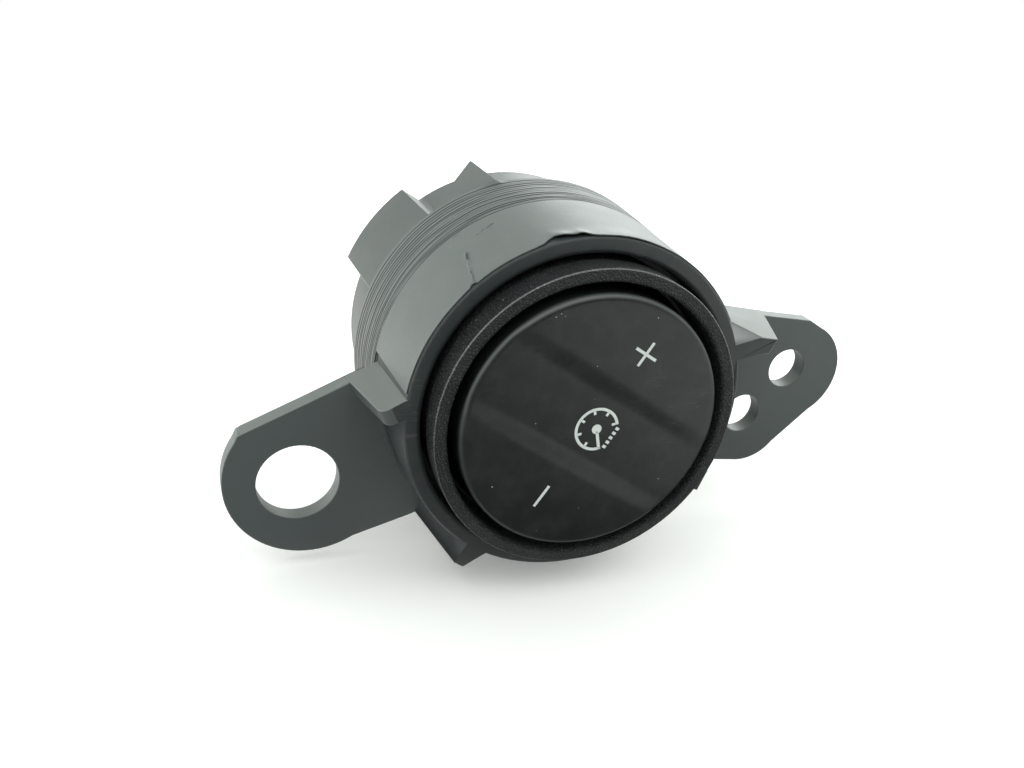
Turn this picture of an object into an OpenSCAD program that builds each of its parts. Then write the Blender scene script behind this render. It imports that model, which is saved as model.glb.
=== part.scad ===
// Round rocker dimmer switch for instrument lighting.
//
// Frame: the drum's axis is Y, the button faces -Y, and Z is up as the switch
// stands on a table. The origin is on the drum's axis, in the plane of the
// barrel's front rim, where a dash trim would seat.
//
// Every module below is drawn in the "face frame", in which the rocker's two
// signs lie on the Z axis and its hinge on the X axis, and stand() then turns
// the whole switch about Y to the way it stands in the photograph.
// All lengths are in millimetres, all angles in degrees.

/* [Show] */
// Which sub-part to draw

/* [Stance] */
// Turn of the signs' axis away from upright, as it stands on the table
stance = 32.5; // [0:0.5:90]

/* [Barrel] */
// Outer radius at the front rim
barrel_r = 21.3; // [18:0.1:26]
// Moulding draft: how much the radius grows towards the back
barrel_draft = 0.7; // [0:0.1:1.2]
// Length of the front housing's barrel
barrel_len = 12.4; // [10:0.1:16]
// Wall thickness at the front rim
barrel_wall = 2.0; // [1.4:0.1:2.6]

/* [Button] */
// Gap between the button and the bezel ring
button_gap = 1.14; // [0.8:0.02:1.6]
// How far the button's face stands in front of the rim
button_proud = 4.25; // [3:0.05:6]
// Radius of the rounding round the face
button_edge = 0.8; // [0.3:0.1:1.5]
// Depth of the finger valley across the face
valley_depth = 0.62; // [0:0.02:1.2]
// Distance from the centre to the middle of each valley flank
valley_half = 4.9; // [3:0.1:8]
// Width over which each valley flank falls
valley_flank = 2.6; // [0.5:0.1:5]

/* [Bezel ring] */
// Gap between the ring and the bore of the barrel
ring_gap = 0.56; // [0.3:0.02:1]
// Width of the ring, from its inner to its outer edge
ring_w = 1.6; // [1.2:0.05:2.4]
// How far its front stands in front of the rim
ring_proud = 3.3; // [2:0.1:5]

/* [Ears] */
// How far the ears' backs stand in front of the barrel's back edge
ear_set = 0.2; // [0.1:0.1:3]
// Thickness of the ears
ear_t = 2.3; // [1.5:0.1:3]
// Large hole in the left ear, radius
hole_large = 5.0; // [3:0.1:6]
// Two screw holes in the right ear, radius
hole_small = 2.75; // [2:0.05:3.5]
// Thickness of the stiffening ribs
rib_t = 2.1; // [1.2:0.1:3]

/* [Tape] */
// Thickness of the smooth film on the barrel
film_t = 0.18; // [0.1:0.02:0.4]
// Turns of tape in the wound band
band_turns = 9; // [3:1:14]
// Thickness of one turn of tape
turn_t = 0.085; // [0.05:0.005:0.15]
// Width of the wound band
band_w = 8.7; // [5:0.1:11]

/* [Rear case] */
// How much smaller the rear case is than the barrel, in radius
case_inset = 0.3; // [0:0.05:1]
// Back plane behind the rim
case_back = 32.2; // [28:0.1:38]
// How far the locking pads stand out of the case at the back
pad_rise = 2.6; // [1:0.1:4]
// How much lower they start, at the tape
pad_ramp = 1.0; // [0:0.1:1.5]
// Width of each locking pad, in degrees
pad_deg = 27.5; // [15:0.5:40]
// How far the ramp lugs stand out of the case
lug_rise = 2.2; // [1:0.1:4]

/* [Rocker] */
// Depth of the hinge axis behind the rim
hinge_y = 5.0; // [3:0.1:7]
// Radius of the hinge pins
hinge_r = 1.2; // [0.8:0.05:1.6]
// Running clearance of pins and plungers
run = 0.05; // [0.02:0.01:0.1]
// Distance from the hinge to each plunger
lever = 9.0; // [7:0.1:11]
// Depth of the plungers' front ends behind the rim
plunger_y = 8.2; // [7.5:0.1:9]

/* [Electronics] */
// Front face of the circuit board behind the rim
board_y = 17.5; // [16.5:0.1:19]
// Thickness of the circuit board
board_t = 1.6; // [0.8:0.2:2]
// Gap between the circuit board and the rear case
board_gap = 0.3; // [0.2:0.05:1]
// Contact pins in the connector
pin_n = 4; // [2:1:4]
// Distance between contact pins
pin_pitch = 2.54; // [2:0.02:2.6]

/* [Hidden] */
$fn = 96;
e = 0.01;
bore_r = barrel_r - barrel_wall;                 // inside of the front rim
back_r = barrel_r + barrel_draft;                // outside of the barrel's back edge
ring_out = bore_r - ring_gap;                    // bezel ring
ring_in = ring_out - ring_w;
shank_r = ring_out - 0.3;                        // its shank, and the sleeve it stands on
button_r = ring_in - button_gap;                 // rocker button
case_r = barrel_r - case_inset;                  // rear case
case_in = case_r - 2.6;
pad_r = case_r + pad_rise;
lug_r = case_r + lug_rise;
board_r = case_in - board_gap;
spigot_r = bore_r - 0.85;                        // rear case's spigot in the housing
function micron(v) = round(v * 1000) / 1000;     // whole microns, so that flush faces meet
ear_back = micron(barrel_len - ear_set);
ear_y = micron(ear_back - ear_t);                // front face of both ears
ear_out = barrel_r - 21.3;                       // the ears and ribs go out with the barrel
relief_r = back_r + 1.35;                        // relief that keeps the ears' backs off the tape
frame_r = bore_r - 0.1;                          // collar of the bearing frame
post_x = board_r - 4.9;                          // screw posts of the board
lip_y = 4.5;                                     // inner lip that the frame bears on
floor_y = 12.2;                                  // front of the frame's floor
floor_t = 1.4;
tail_end = floor_y + floor_t + 0.15;             // back end of the plungers' tails
switch_h = 3.5;                                  // height of the tact switches
switch_y = board_y - switch_h;                   // their front face
socket_w = 13;                                   // connector opening, along X
socket_h = 7;                                    // connector opening, along Z
socket_wall = 1.2;
socket_z = -4.6;                                 // connector's place beside the lamp
socket_floor = 25.5;                             // floor of the connector opening
socket_back = case_back + 4.3;                   // mouth of the connector opening
function pin_x(i) = (i - (pin_n - 1) / 2) * pin_pitch;
spigot_y = lip_y + 2.6;                          // front end of the rear case's spigot
tray_r = bore_r - 1.8;                           // radius of the bearing frame's tray
band_y = barrel_len + 0.2;                       // front edge of the wound band
cap_y = -button_proud;                           // front plane of the button
skirt_y = 3.0;                                   // back end of the button's skirt
cap_wall = 1.9;                                  // front wall of the button
cap_in = cap_y + cap_wall;                       // inner face of the button

// plastics and metals as the photograph shows them
c_house = [0.055, 0.058, 0.060];
c_case = [0.065, 0.068, 0.070];
c_ring = [0.050, 0.052, 0.054];
c_cap = [0.035, 0.036, 0.038];
c_film = [0.075, 0.080, 0.080];
c_tape = [0.070, 0.074, 0.074];
c_frame = [0.10, 0.10, 0.105];
c_white = [0.85, 0.85, 0.82];
c_clear = [0.80, 0.86, 0.90];
c_board = [0.05, 0.26, 0.14];
c_steel = [0.70, 0.71, 0.72];
c_tin = [0.78, 0.77, 0.72];

// ---------------------------------------------------------------- helpers

// turns the face frame to the stance in the photograph
module stand() { rotate([0, stance, 0]) children(); }

// a flat shape drawn in (x, z), made solid from y0 to y1
module slab(y0, y1) {
    translate([0, y1, 0]) rotate([90, 0, 0]) linear_extrude(height = y1 - y0) children();
}

// a round rod along Y at (x, z)
module rod(x, z, y0, y1, r) {
    translate([x, y1, z]) rotate([90, 0, 0]) cylinder(h = y1 - y0, r = r);
}

// a conical rod along Y on the axis
module cone(y0, y1, r0, r1) {
    translate([0, y0, 0]) rotate([-90, 0, 0]) cylinder(h = y1 - y0, r1 = r0, r2 = r1);
}

// a tube along Y at (x, z)
module tube(x, z, y0, y1, ro, ri) {
    difference() {
        rod(x, z, y0, y1, ro);
        rod(x, z, y0 - 1, y1 + 1, ri);
    }
}

// a profile drawn in (radius, y), turned about the drum's axis
module turned() { rotate([-90, 0, 0]) rotate_extrude($fn = 144) children(); }

// the same from angle a to angle b, counted from +X towards +Z
module turned_from(a, b) {
    rotate([-90, 0, 0]) rotate([0, 0, -b]) rotate_extrude(angle = b - a, $fn = 144) children();
}

// a box along Y, centred at (x, z)
module block(x, z, y0, y1, w, h) {
    translate([x - w / 2, y0, z - h / 2]) cube([w, y1 - y0, h]);
}

// a stiffening rib: a plate that leaves the barrel in the direction ang and
// runs from the rim back to the ear. (px, pz) is its outer corner at the ear,
// cut_front is how much shorter it is at the front, root how far it reaches in,
// and nose how much of its front corner is rounded off.
module rib(px, pz, ang, cut_front, root, y0, y1, t0, t1, nose) {
    corner = [-cut_front, y0];
    end = [0, y1 - 0.4];
    a = corner - [nose, 0];
    b = corner + (end - corner) * nose / norm(end - corner);
    translate([px, 0, pz]) rotate([0, -ang, 0]) translate([0, 0, t0])
        linear_extrude(height = t1 - t0)
            polygon(concat([[-root, y0]],
                [for (t = [0:0.2:1]) (1 - t) * (1 - t) * a + 2 * t * (1 - t) * corner + t * t * b],
                [end, [0, y1], [-root, y1]]));
}

// ---------------------------------------------------------------- housing

// front rim of the barrel with its rounded edges, drawn in (radius, y)
module barrel_profile() {
    ro = 0.35;
    ri = 0.7;
    difference() {
        union() {
            polygon([
                [bore_r, ri], [bore_r + ri, 0], [barrel_r - ro, 0], [barrel_r, ro],
                [back_r, barrel_len], [bore_r, barrel_len]]);
            translate([bore_r + ri, ri]) circle(r = ri, $fn = 48);
            translate([barrel_r - ro, ro]) circle(r = ro, $fn = 48);
        }
    }
    // lip inside the barrel, the stop for the bearing frame
    translate([shank_r + 0.15, lip_y]) square([bore_r - shank_r, 1.0]);
}

// outline of the left ear: one large hole, round end, cut off along its rib
left_c = [-19.3, -25.7];
left_r = 10.45;
left_hole = [-20.3, -26.9];
left_a = [-22.2, -13.0];             // where the upper rib's corner meets the ear
left_dir = 236.7;                    // direction of the upper edge, away from the barrel
module go_out(a) { translate([ear_out * cos(a), 0, ear_out * sin(a)]) children(); }
module left_ear_shape() {
    difference() {
        union() {
            translate(left_c) circle(r = left_r);
            polygon([[-18.9, -8.0], [-29.9, -24.8], left_c + [-left_r, 0], left_c + [0, -left_r],
                [-11.5, -32.2], [-4.9, -24.5], [-2.2, -20.6], [-10, -17.5]]);
        }
        // everything above the straight upper edge
        translate(left_a) rotate(left_dir) translate([-8, -20]) square([30, 20]);
        translate(left_hole) circle(r = hole_large);
    }
}

// outline of the right ear: two screw holes
right_1 = [32.2, 18.4];
right_2 = [30.6, 9.0];
right_r1 = 7.1;
right_r2 = 6.2;
hole_a = [30.6, 18.2];
hole_b = [29.1, 9.6];
right_a = [22.75, 22.6];
right_dir = 22.9;
module right_ear_shape() {
    difference() {
        union() {
            translate(right_1) circle(r = right_r1);
            translate(right_2) circle(r = right_r2);
            polygon([[11.0, 17.3], right_a, [28.9, 25.35], [31.6, 25.46], [39.28, 17.9],
                [36.78, 8.57], [33.3, 3.43], [20.4, -2.85], [18, 6]]);
        }
        translate(hole_a) circle(r = hole_small);
        translate(hole_b) circle(r = hole_small);
    }
}

// the right rib, with its front corner dressed off towards the rim, a slanted
// end, and a foot that flares into the rim
module right_rib() {
    difference() {
        union() {
            rib(right_a[0], right_a[1], right_dir, 5.3, 13.2, 0, ear_back, -rib_t, 0, 0.4);
            slab(0, ear_y) polygon([[12.7, 14.6], [14.2, 15.2], [16.36, 17.4], [17.85, 18.3], [17.2, 19.4], [13.2, 17.6]]);
        }
        translate([12.93, 0, 16.94]) rotate([0, -45.5, 0]) rotate([6.8, 0, 0])
            translate([-4, -2, 0]) cube([9, 9, 4]);
        translate([17.61, 0, 20.55]) rotate([0, -6.1, 0]) rotate([0, 0, -23.6])
            translate([0, -3, -6]) cube([8, 20, 9]);
    }
}

module housing() {
    stand() color(c_house) difference() {
        union() {
            turned() barrel_profile();
            go_out(233) slab(ear_y, ear_back) left_ear_shape();
            go_out(25) slab(ear_y, ear_back) right_ear_shape();
            // upper ribs, flush with the ears' upper edges
            go_out(212) rib(left_a[0], left_a[1], left_dir, 1.9, 5.6, 0, ear_back, 0, rib_t, 1.3);
            go_out(50) right_rib();
            // root of the left ear
            turned_from(209, 256) translate([back_r - 1, ear_y]) polygon([[0, 0.1], [0, -0.9], [0.8, -0.9], [1.3, 0.1]]);
            // lower left rib: a web that flares into the foot of the ear
            go_out(270) slab(0, ear_back) polygon([[-1.75, -20.2], [-1.75, -23.7], [-1.4, -24.0],
                [-0.4, -24.05], [1.3, -20.9], [1.2, -20.2]]);
            go_out(270) translate([0, 0, -24.0]) linear_extrude(height = 4)
                polygon([[-1.75, 0], [-0.4, 0], [-0.4, ear_back], [-4.7, ear_back], [-4.7, ear_y]]);
            // lower right rib: a low tab that runs back to the ear
            go_out(0) slab(0.35, ear_back) polygon([[20.3, 2.3], [21.0, 2.25], [21.95, 1.65], [22.55, -1.25],
                [20.9, -1.65], [20.3, -1.6]]);
            // snap rail that holds the rear case, under the tape
            turned() translate([spigot_r + 0.15, barrel_len - 1.0]) square([bore_r - spigot_r + 0.3, 1.0]);
        }
        // the bore, clear of every rib root
        rod(0, 0, lip_y + 1, barrel_len - 1.0, bore_r);
        rod(0, 0, 0.7, lip_y, bore_r);
        rod(0, 0, barrel_len - 1.1, barrel_len + 1, spigot_r + 0.15);
        // relief round the tape, so that the ears' backs seat flat
        turned() translate([back_r - 0.1, ear_back - 0.3]) square([relief_r - back_r + 0.1, 0.3 + e]);
    }
}

// ---------------------------------------------------------------- rear case

module pad(a) {
    y0 = band_y + band_w + 0.3;
    intersection() {
        cone(y0, case_back, pad_r - pad_ramp, pad_r);
        slab(y0 - 1, case_back + 1) rotate(a) polygon([[10, 0], [case_r * cos(pad_deg / 2 + 3) - 1, -case_r * sin(pad_deg / 2 + 3) - 0.2],
            [26 * cos(pad_deg / 2 - 1.4), -26 * sin(pad_deg / 2 - 1.4)], [30, 0],
            [26 * cos(pad_deg / 2 - 1.4), 26 * sin(pad_deg / 2 - 1.4)],
            [case_r * cos(pad_deg / 2 + 3) - 1, case_r * sin(pad_deg / 2 + 3) + 0.2]]);
    }
}

// a ramp lug: a slope up to a crest on one side and a steep end on the other
module lug_shape(a) {
    crest = lug_r - 0.14;
    rotate(a) polygon([[14, -1.0], [lug_r - 2.2, -0.75], [crest - 0.1, 0.35], [crest, 0.6],
        [crest - 2.46, 3.35], [14, 3.6]]);
}

module rear_case() {
    stand() color(c_case) difference() {
        union() {
            rod(0, 0, barrel_len + 0.1, case_back, case_r);
            // shoulder under the tape, in line with the front housing's edge
            rod(0, 0, barrel_len + 0.1, band_y + band_w, back_r);
            // spigot inside the front housing, which clamps the bearing frame
            rod(0, 0, spigot_y, barrel_len + 0.2, spigot_r);
            for (i = [0:2]) {
                pad(174.8 - 120 * i);
                slab(band_y + band_w + 0.3, case_back) lug_shape(134.2 - 120 * i);
            }
            block(0, socket_z, case_back - 0.5, socket_back, socket_w + 2 * socket_wall, socket_h + 2 * socket_wall);
            // latch ramp for the plug
            block(0, socket_z + socket_h / 2 + socket_wall + 0.5, case_back, socket_back - 1.2, 4, 1.2);
        }
        // inside
        difference() {
            union() {
                rod(0, 0, spigot_y - 1, 14.2, tray_r + 0.2);
                rod(0, 0, 14.1, case_back - 1.6, case_in);
            }
            block(0, socket_z, 23.5, case_back, socket_w + 2 * socket_wall, socket_h + 2 * socket_wall);
        }
        // connector opening and the slots for its pins
        block(0, socket_z, socket_floor, socket_back + 1, socket_w, socket_h);
        for (i = [0:pin_n - 1]) block(pin_x(i), socket_z, 22, 27, 0.9, 0.9);
    }
}

// ---------------------------------------------------------------- tape

film_from = 61;
film_to = 203;
module tape_film() {
    r0 = barrel_r + 0.02;
    k = barrel_draft / barrel_len;
    y0 = 0.45;
    y1 = band_y;
    stand() color(c_film) difference() {
        turned_from(film_from, film_to)
            polygon([[r0 + k * y0, y0], [r0 + k * y0 + film_t, y0], [r0 + k * y1 + film_t, y1], [r0 + k * y1, y1]]);
        // torn nicks in the front edge
        for (n = [[164, 0.9], [139, 0.55], [125, 0.5], [118, 0.65]])
            rotate([0, -n[0], 0]) translate([18, 0.3, 0]) rotate([0, 90, 0]) cylinder(h = 8, r = n[1], $fn = 24);
    }
}

// the wound band: each turn ends a little further back than the one under it
module tape_band() {
    k = barrel_draft / barrel_len;
    r0 = back_r + 0.04;
    step = band_w / band_turns;
    stand() color(c_tape) union() {
        turned() difference() {
            polygon(concat(
                [[r0, band_y]],
                [for (i = [0:band_turns - 1]) for (p = [0, 1])
                    [r0 + 0.16 + (i + 1) * turn_t - 0.03 * p, band_y + (i + p * 0.999) * step]],
                [[r0, band_y + band_w]]));
        }
    }
}

// ---------------------------------------------------------------- bezel ring

module bezel_ring() {
    ro = 0.15;
    ri = 0.45;
    y0 = -ring_proud;
    stand() color(c_ring) turned() {
        // the front falls 0.3 mm from its inner to its outer edge
        polygon([[ring_in + ri, y0], [ring_out - ro, y0 + 0.3], [ring_out, y0 + 0.3 + ro],
            [ring_out, 0], [shank_r, 0.05], [shank_r, 2.6], [ring_in, 2.6], [ring_in, y0 + ri]]);
        translate([ring_in + ri, y0 + ri]) circle(r = ri, $fn = 48);
        translate([ring_out - ro, y0 + 0.3 + ro]) circle(r = ro, $fn = 48);
    }
}

// ---------------------------------------------------------------- bearing frame

tube_in = ring_out - 1.94;
cup_r = 3.05;
tail_r = 1.5;                                    // tails of the plungers, stems of the switches
module bearing_frame() {
    stand() color(c_frame) difference() {
        union() {
            tube(0, 0, 2.7, lip_y + 2.5, shank_r, tube_in);
            tube(0, 0, lip_y + 1.1, lip_y + 2.5, frame_r, tube_in);
            tube(0, 0, lip_y + 2, floor_y + e, tray_r, tube_in);
            rod(0, 0, floor_y, floor_y + floor_t, tray_r);
            // cups that guide the plungers' collars
            for (s = [-1, 1]) rod(0, s * lever, 8.9, floor_y + e, cup_r + 1.0);
            // collar round the light tube
            rod(0, 0, 10.4, floor_y + e, 4.6);
            // posts for the circuit board
            for (s = [-1, 1]) rod(s * post_x, 0, floor_y, board_y, 2.2);
            for (s = [-1, 1], t = [-1, 1]) rod(s * post_x * 0.757, t * post_x * 0.924, floor_y, board_y, 1.5);
        }
        // hinge bearings
        translate([-25, hinge_y, 0]) rotate([0, 90, 0]) cylinder(h = 50, r = hinge_r + run);
        for (s = [-1, 1]) {
            rod(0, s * lever, 8, floor_y + 0.005, cup_r + run);
            rod(0, s * lever, floor_y - 1, board_y, tail_r + run);
            rod(s * post_x, 0, floor_y + 0.6, board_y + 1, 0.9);
        }
        rod(0, 0, 9, 15, 3.5);
    }
}

// ---------------------------------------------------------------- rocker

// height of the button's face behind its front plane, at (x, z)
function ease(t) = t <= 0 ? 0 : t >= 1 ? 1 : t * t * (3 - 2 * t);
function face_depth(x, z) =
    let (q = (x * x + z * z) / (button_r * button_r),
         v = 1 - ease((abs(z) - valley_half + valley_flank / 2) / valley_flank),
         f = 1 - 0.72 * pow(abs(x) / button_r, 2.4))
    0.30 * q * q + valley_depth * v * f;

// the button's outside as one closed surface: rings of points on the face,
// then the rounded edge, then the skirt
module cap_body() {
    n = 96;
    flat = button_r - button_edge;
    face = [for (i = [1:15]) flat * i / 15];
    rounds = [for (j = [1:5]) 90 * j / 5];
    ring_pts = concat(
        [for (r = face) for (k = [0:n - 1]) let (a = 360 * k / n, x = r * cos(a), z = r * sin(a))
            [x, cap_y + face_depth(x, z), z]],
        [for (b = rounds) for (k = [0:n - 1])
            let (a = 360 * k / n, r = flat + button_edge * sin(b),
                 d = face_depth(flat * cos(a), flat * sin(a)))
            [r * cos(a), cap_y + d * cos(b) + 0.30 * (1 - cos(b)) + button_edge * (1 - cos(b)), r * sin(a)]],
        [for (k = [0:n - 1]) let (a = 360 * k / n) [(button_r - 0.12) * cos(a), skirt_y, (button_r - 0.12) * sin(a)]]);
    rings = len(face) + len(rounds) + 1;
    c0 = rings * n;
    pts = concat(ring_pts, [[0, cap_y + face_depth(0, 0), 0], [0, skirt_y, 0]]);
    faces = concat(
        [for (k = [0:n - 1]) [c0, (k + 1) % n, k]],
        [for (i = [0:rings - 2]) for (k = [0:n - 1])
            [i * n + k, (i + 1) * n + (k + 1) % n, (i + 1) * n + k]],
        [for (i = [0:rings - 2]) for (k = [0:n - 1])
            [i * n + k, i * n + (k + 1) % n, (i + 1) * n + (k + 1) % n]],
        [for (k = [0:n - 1]) [c0 + 1, (rings - 1) * n + k, (rings - 1) * n + (k + 1) % n]]);
    polyhedron(points = pts, faces = faces, convexity = 6);
}

module rocker_cap() {
    stand() color(c_cap) union() {
        difference() {
            cap_body();
            rod(0, 0, cap_in, skirt_y + 1, button_r - 1.6);
        }
        // clips that hold the carrier
        for (s = [-1, 1]) block(s * 9.5, 0, cap_in - 0.2, -0.6, 1.2, 9.5);
    }
}

// clear plate behind the three signs
module rocker_lens() {
    stand() color(c_clear) union() {
        block(0, 0, cap_in + 0.02, cap_in + 0.75, 9.6, 2 * (button_r - 3.2));
        rod(0, 0, cap_in + 0.7, cap_in + 2.0, 3.9);
    }
}

module rocker_carrier() {
    plate_y = cap_in + 0.8;
    pin_end = shank_r - 0.24;                    // the hinge pins end inside the sleeve
    stand() color(c_white) difference() {
        union() {
            rod(0, 0, plate_y, plate_y + 1.4, button_r - 1.75);
            // two side walls down to the hinge
            for (s = [-1, 1]) {
                block(s * (button_r - 3.0), 0, plate_y + 0.1, hinge_y + 2.2, 1.8, 7.0);
                translate([s > 0 ? button_r - 3.8 : -pin_end, hinge_y, 0]) rotate([0, 90, 0])
                    cylinder(h = pin_end - button_r + 3.8, r = hinge_r);
            }
            // two legs that press the plungers
            for (s = [-1, 1]) {
                block(0, s * lever, plate_y + 0.1, plunger_y - 1.2, 3.4, 2.8);
                translate([-1.7, plunger_y - 1.25, s * lever]) rotate([0, 90, 0]) cylinder(h = 3.4, r = 1.2);
            }
        }
        // window for the light, and slots for the cap's clips
        rod(0, 0, plate_y - 1, plate_y + 3, 4.1);
        for (s = [-1, 1]) block(s * 9.5, 0, plate_y - 1, plate_y + 3, 1.5, 9.9);
    }
}

// ---------------------------------------------------------------- plungers

collar_y = plunger_y + 1.5;
module plunger(s) {
    stand() color(c_frame) union() {
        rod(0, s * lever, plunger_y, collar_y + e, 2.0);
        rod(0, s * lever, collar_y - 0.9, collar_y, cup_r);
        rod(0, s * lever, collar_y - 0.5, tail_end, tail_r);
    }
}
module plunger_plus() plunger(1);
module plunger_minus() plunger(-1);

// a coil spring of round wire, wound about a line along Y
module coil(x, z, y0, y1, mean_r, wire, turns) {
    $fn = 0;
    arc = 62;
    m = 4;
    function half(t) = wire * sqrt(max(0, 1 - t * t));
    section = concat(
        [for (i = [-m:m]) let (t = i / m, r = mean_r - half(t)) [r * cos(arc * t), r * sin(arc * t)]],
        [for (i = [m - 1:-1:1 - m]) let (t = i / m, r = mean_r + half(t)) [r * cos(arc * t), r * sin(arc * t)]]);
    translate([x, y0, z]) rotate([-90, 0, 0])
        linear_extrude(height = y1 - y0, twist = -360 * turns, slices = 13 * turns, convexity = 8)
            polygon(section);
}
module plunger_spring(s) {
    stand() color(c_steel) coil(0, s * lever, collar_y + 0.45, floor_y - 0.02, 2.25, 0.2, 3);
}
module spring_plus() plunger_spring(1);
module spring_minus() plunger_spring(-1);

// ---------------------------------------------------------------- switches

module tact_stem(s) {
    stand() color([0.08, 0.08, 0.08]) rod(0, s * lever, tail_end + 0.02, switch_y + 0.9, tail_r);
}
module stem_plus() tact_stem(1);
module stem_minus() tact_stem(-1);

module tact_switch(s) {
    stand() {
        color([0.12, 0.12, 0.13]) difference() {
            block(0, s * lever, switch_y, board_y - 0.02, 6.2, 6.2);
            rod(0, s * lever, switch_y - 1, switch_y + 1.6, tail_r + run);
        }
        color(c_tin) for (a = [-1, 1], b = [-1, 1])
            block(a * 3.5, s * lever + b * 2.25, board_y - 1.0, board_y - 0.02, 1.2, 0.7);
    }
}
module switch_plus() tact_switch(1);
module switch_minus() tact_switch(-1);

// ---------------------------------------------------------------- light

module light_tube() {
    stand() color(c_white) difference() {
        union() {
            rod(0, 0, 1.2, board_y - 0.3, 3.4);
            rod(0, 0, 9.6, 10.38, 4.4);
        }
        rod(0, 0, 0, board_y, 2.6);
    }
}

module lamp() {
    stand() {
        color(c_white) block(0, 0, board_y - 1.5, board_y - 0.02, 3.4, 2.8);
        color([1.0, 0.95, 0.65]) rod(0, 0, board_y - 1.8, board_y - 1.4, 1.1);
    }
}

// ---------------------------------------------------------------- electronics

board_back = board_y + board_t;
module circuit_board() {
    stand() color(c_board) difference() {
        rod(0, 0, board_y, board_back, board_r);
        for (s = [-1, 1]) rod(s * post_x, 0, board_y - 1, board_back + 1, 1.15);
        for (i = [0:pin_n - 1]) rod(pin_x(i), socket_z, board_y - 1, board_back + 1, 0.5);
        // orientation flat
        block(0, board_r, board_y - 1, board_back + 1, 12, 1.6);
    }
}

module driver_chip() {
    stand() {
        color([0.06, 0.06, 0.065]) block(0, 9.5, board_back + 0.1, board_back + 1.6, 5.0, 4.0);
        color(c_tin) for (i = [-1.5:1:1.5], s = [-1, 1])
            block(i * 1.27, 9.5 + s * 2.4, board_back + 0.02, board_back + 0.5, 0.45, 1.2);
    }
}

can_x = -0.774 * (board_r - 3.9);                // the capacitor stands near the board's edge
can_z = 0.633 * (board_r - 3.9);
module capacitor() {
    stand() {
        color([0.72, 0.73, 0.75]) rod(can_x, can_z, board_back + 0.6, board_back + 5.6, 2.5);
        color([0.07, 0.07, 0.07]) block(can_x, can_z, board_back + 0.02, board_back + 0.7, 5.3, 5.3);
    }
}

module resistor() {
    x = 0.4 * board_r;
    z = -0.525 * board_r;
    stand() {
        color([0.09, 0.09, 0.10]) block(x, z, board_back + 0.02, board_back + 0.6, 2.2, 1.25);
        color(c_tin) for (s = [-1, 1]) block(x + s * 1.35, z, board_back + 0.02, board_back + 0.62, 0.5, 1.27);
    }
}

module connector_header() {
    w = pin_n * pin_pitch;
    stand() color([0.10, 0.10, 0.10]) difference() {
        block(0, socket_z, board_back + 0.02, board_back + 2.6, w + 0.4, 2.6);
        for (i = [0:pin_n - 1]) block(pin_x(i), socket_z, board_y, board_back + 3, 0.66, 0.66);
    }
}

module contact_pins() {
    stand() color(c_tin) for (i = [0:pin_n - 1])
        block(pin_x(i), socket_z, board_y - 0.9, socket_floor + 5.6, 0.64, 0.64);
}

module board_screw(s) {
    stand() color(c_steel) difference() {
        union() {
            rod(s * post_x, 0, board_back + 0.02, board_back + 1.3, 1.9);
            rod(s * post_x, 0, floor_y + 1.2, board_back + 0.5, 0.88);
        }
        block(s * post_x, 0, board_back + 0.6, board_back + 2, 2.6, 0.5);
        block(s * post_x, 0, board_back + 0.6, board_back + 2, 0.5, 2.6);
    }
}
module board_screw_left() board_screw(-1);
module board_screw_right() board_screw(1);

housing();
rear_case();
tape_film();
tape_band();
bezel_ring();
bearing_frame();
rocker_cap();
rocker_lens();
rocker_carrier();
plunger_plus();
plunger_minus();
spring_plus();
spring_minus();
stem_plus();
stem_minus();
switch_plus();
switch_minus();
light_tube();
lamp();
circuit_board();
driver_chip();
capacitor();
resistor();
connector_header();
contact_pins();
board_screw_left();
board_screw_right();
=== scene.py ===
# %% [markdown]
# # A rocker dimmer switch, taped round its drum
#
# The real object is a round dash switch: a dished button in a grained ring, on
# a black moulded drum with two ears. Somebody has wound tape round the drum.
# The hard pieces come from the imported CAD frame. This lesson dresses them:
# soft edges, moulded grain, tape with creases, the button's signs, and dust.
# The switch's lengths are written in millimetres and turned into metres once.
# The camera and the lamps are placed in metres.

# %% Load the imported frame
import math
from contextlib import contextmanager

import bmesh
import bpy
from mathutils import Matrix, Vector, noise


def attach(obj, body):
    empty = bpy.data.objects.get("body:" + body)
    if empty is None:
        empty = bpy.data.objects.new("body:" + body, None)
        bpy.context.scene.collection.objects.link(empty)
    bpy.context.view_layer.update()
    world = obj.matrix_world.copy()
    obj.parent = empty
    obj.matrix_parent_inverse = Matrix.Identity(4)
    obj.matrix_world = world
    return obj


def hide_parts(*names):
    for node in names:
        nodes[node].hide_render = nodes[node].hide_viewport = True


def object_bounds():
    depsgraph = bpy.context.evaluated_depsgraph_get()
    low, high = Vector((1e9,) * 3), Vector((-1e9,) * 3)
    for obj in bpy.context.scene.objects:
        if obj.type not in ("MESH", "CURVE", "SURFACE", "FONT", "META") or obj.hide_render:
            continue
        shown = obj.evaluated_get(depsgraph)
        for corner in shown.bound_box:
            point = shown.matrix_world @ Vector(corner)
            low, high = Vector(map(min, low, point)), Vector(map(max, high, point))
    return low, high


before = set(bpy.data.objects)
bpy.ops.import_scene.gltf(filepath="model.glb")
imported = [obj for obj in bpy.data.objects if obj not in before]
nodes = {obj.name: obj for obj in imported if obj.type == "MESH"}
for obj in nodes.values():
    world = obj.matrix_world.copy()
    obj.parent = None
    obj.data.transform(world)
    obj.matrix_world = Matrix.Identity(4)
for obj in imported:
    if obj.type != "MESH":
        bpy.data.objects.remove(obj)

MM = 0.001
STANCE = math.radians(32.5)      # the switch's turn about its own axis
cad_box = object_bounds()
print("nodes:", len(nodes), "box:", [[round(c, 4) for c in corner] for corner in cad_box])

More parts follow.
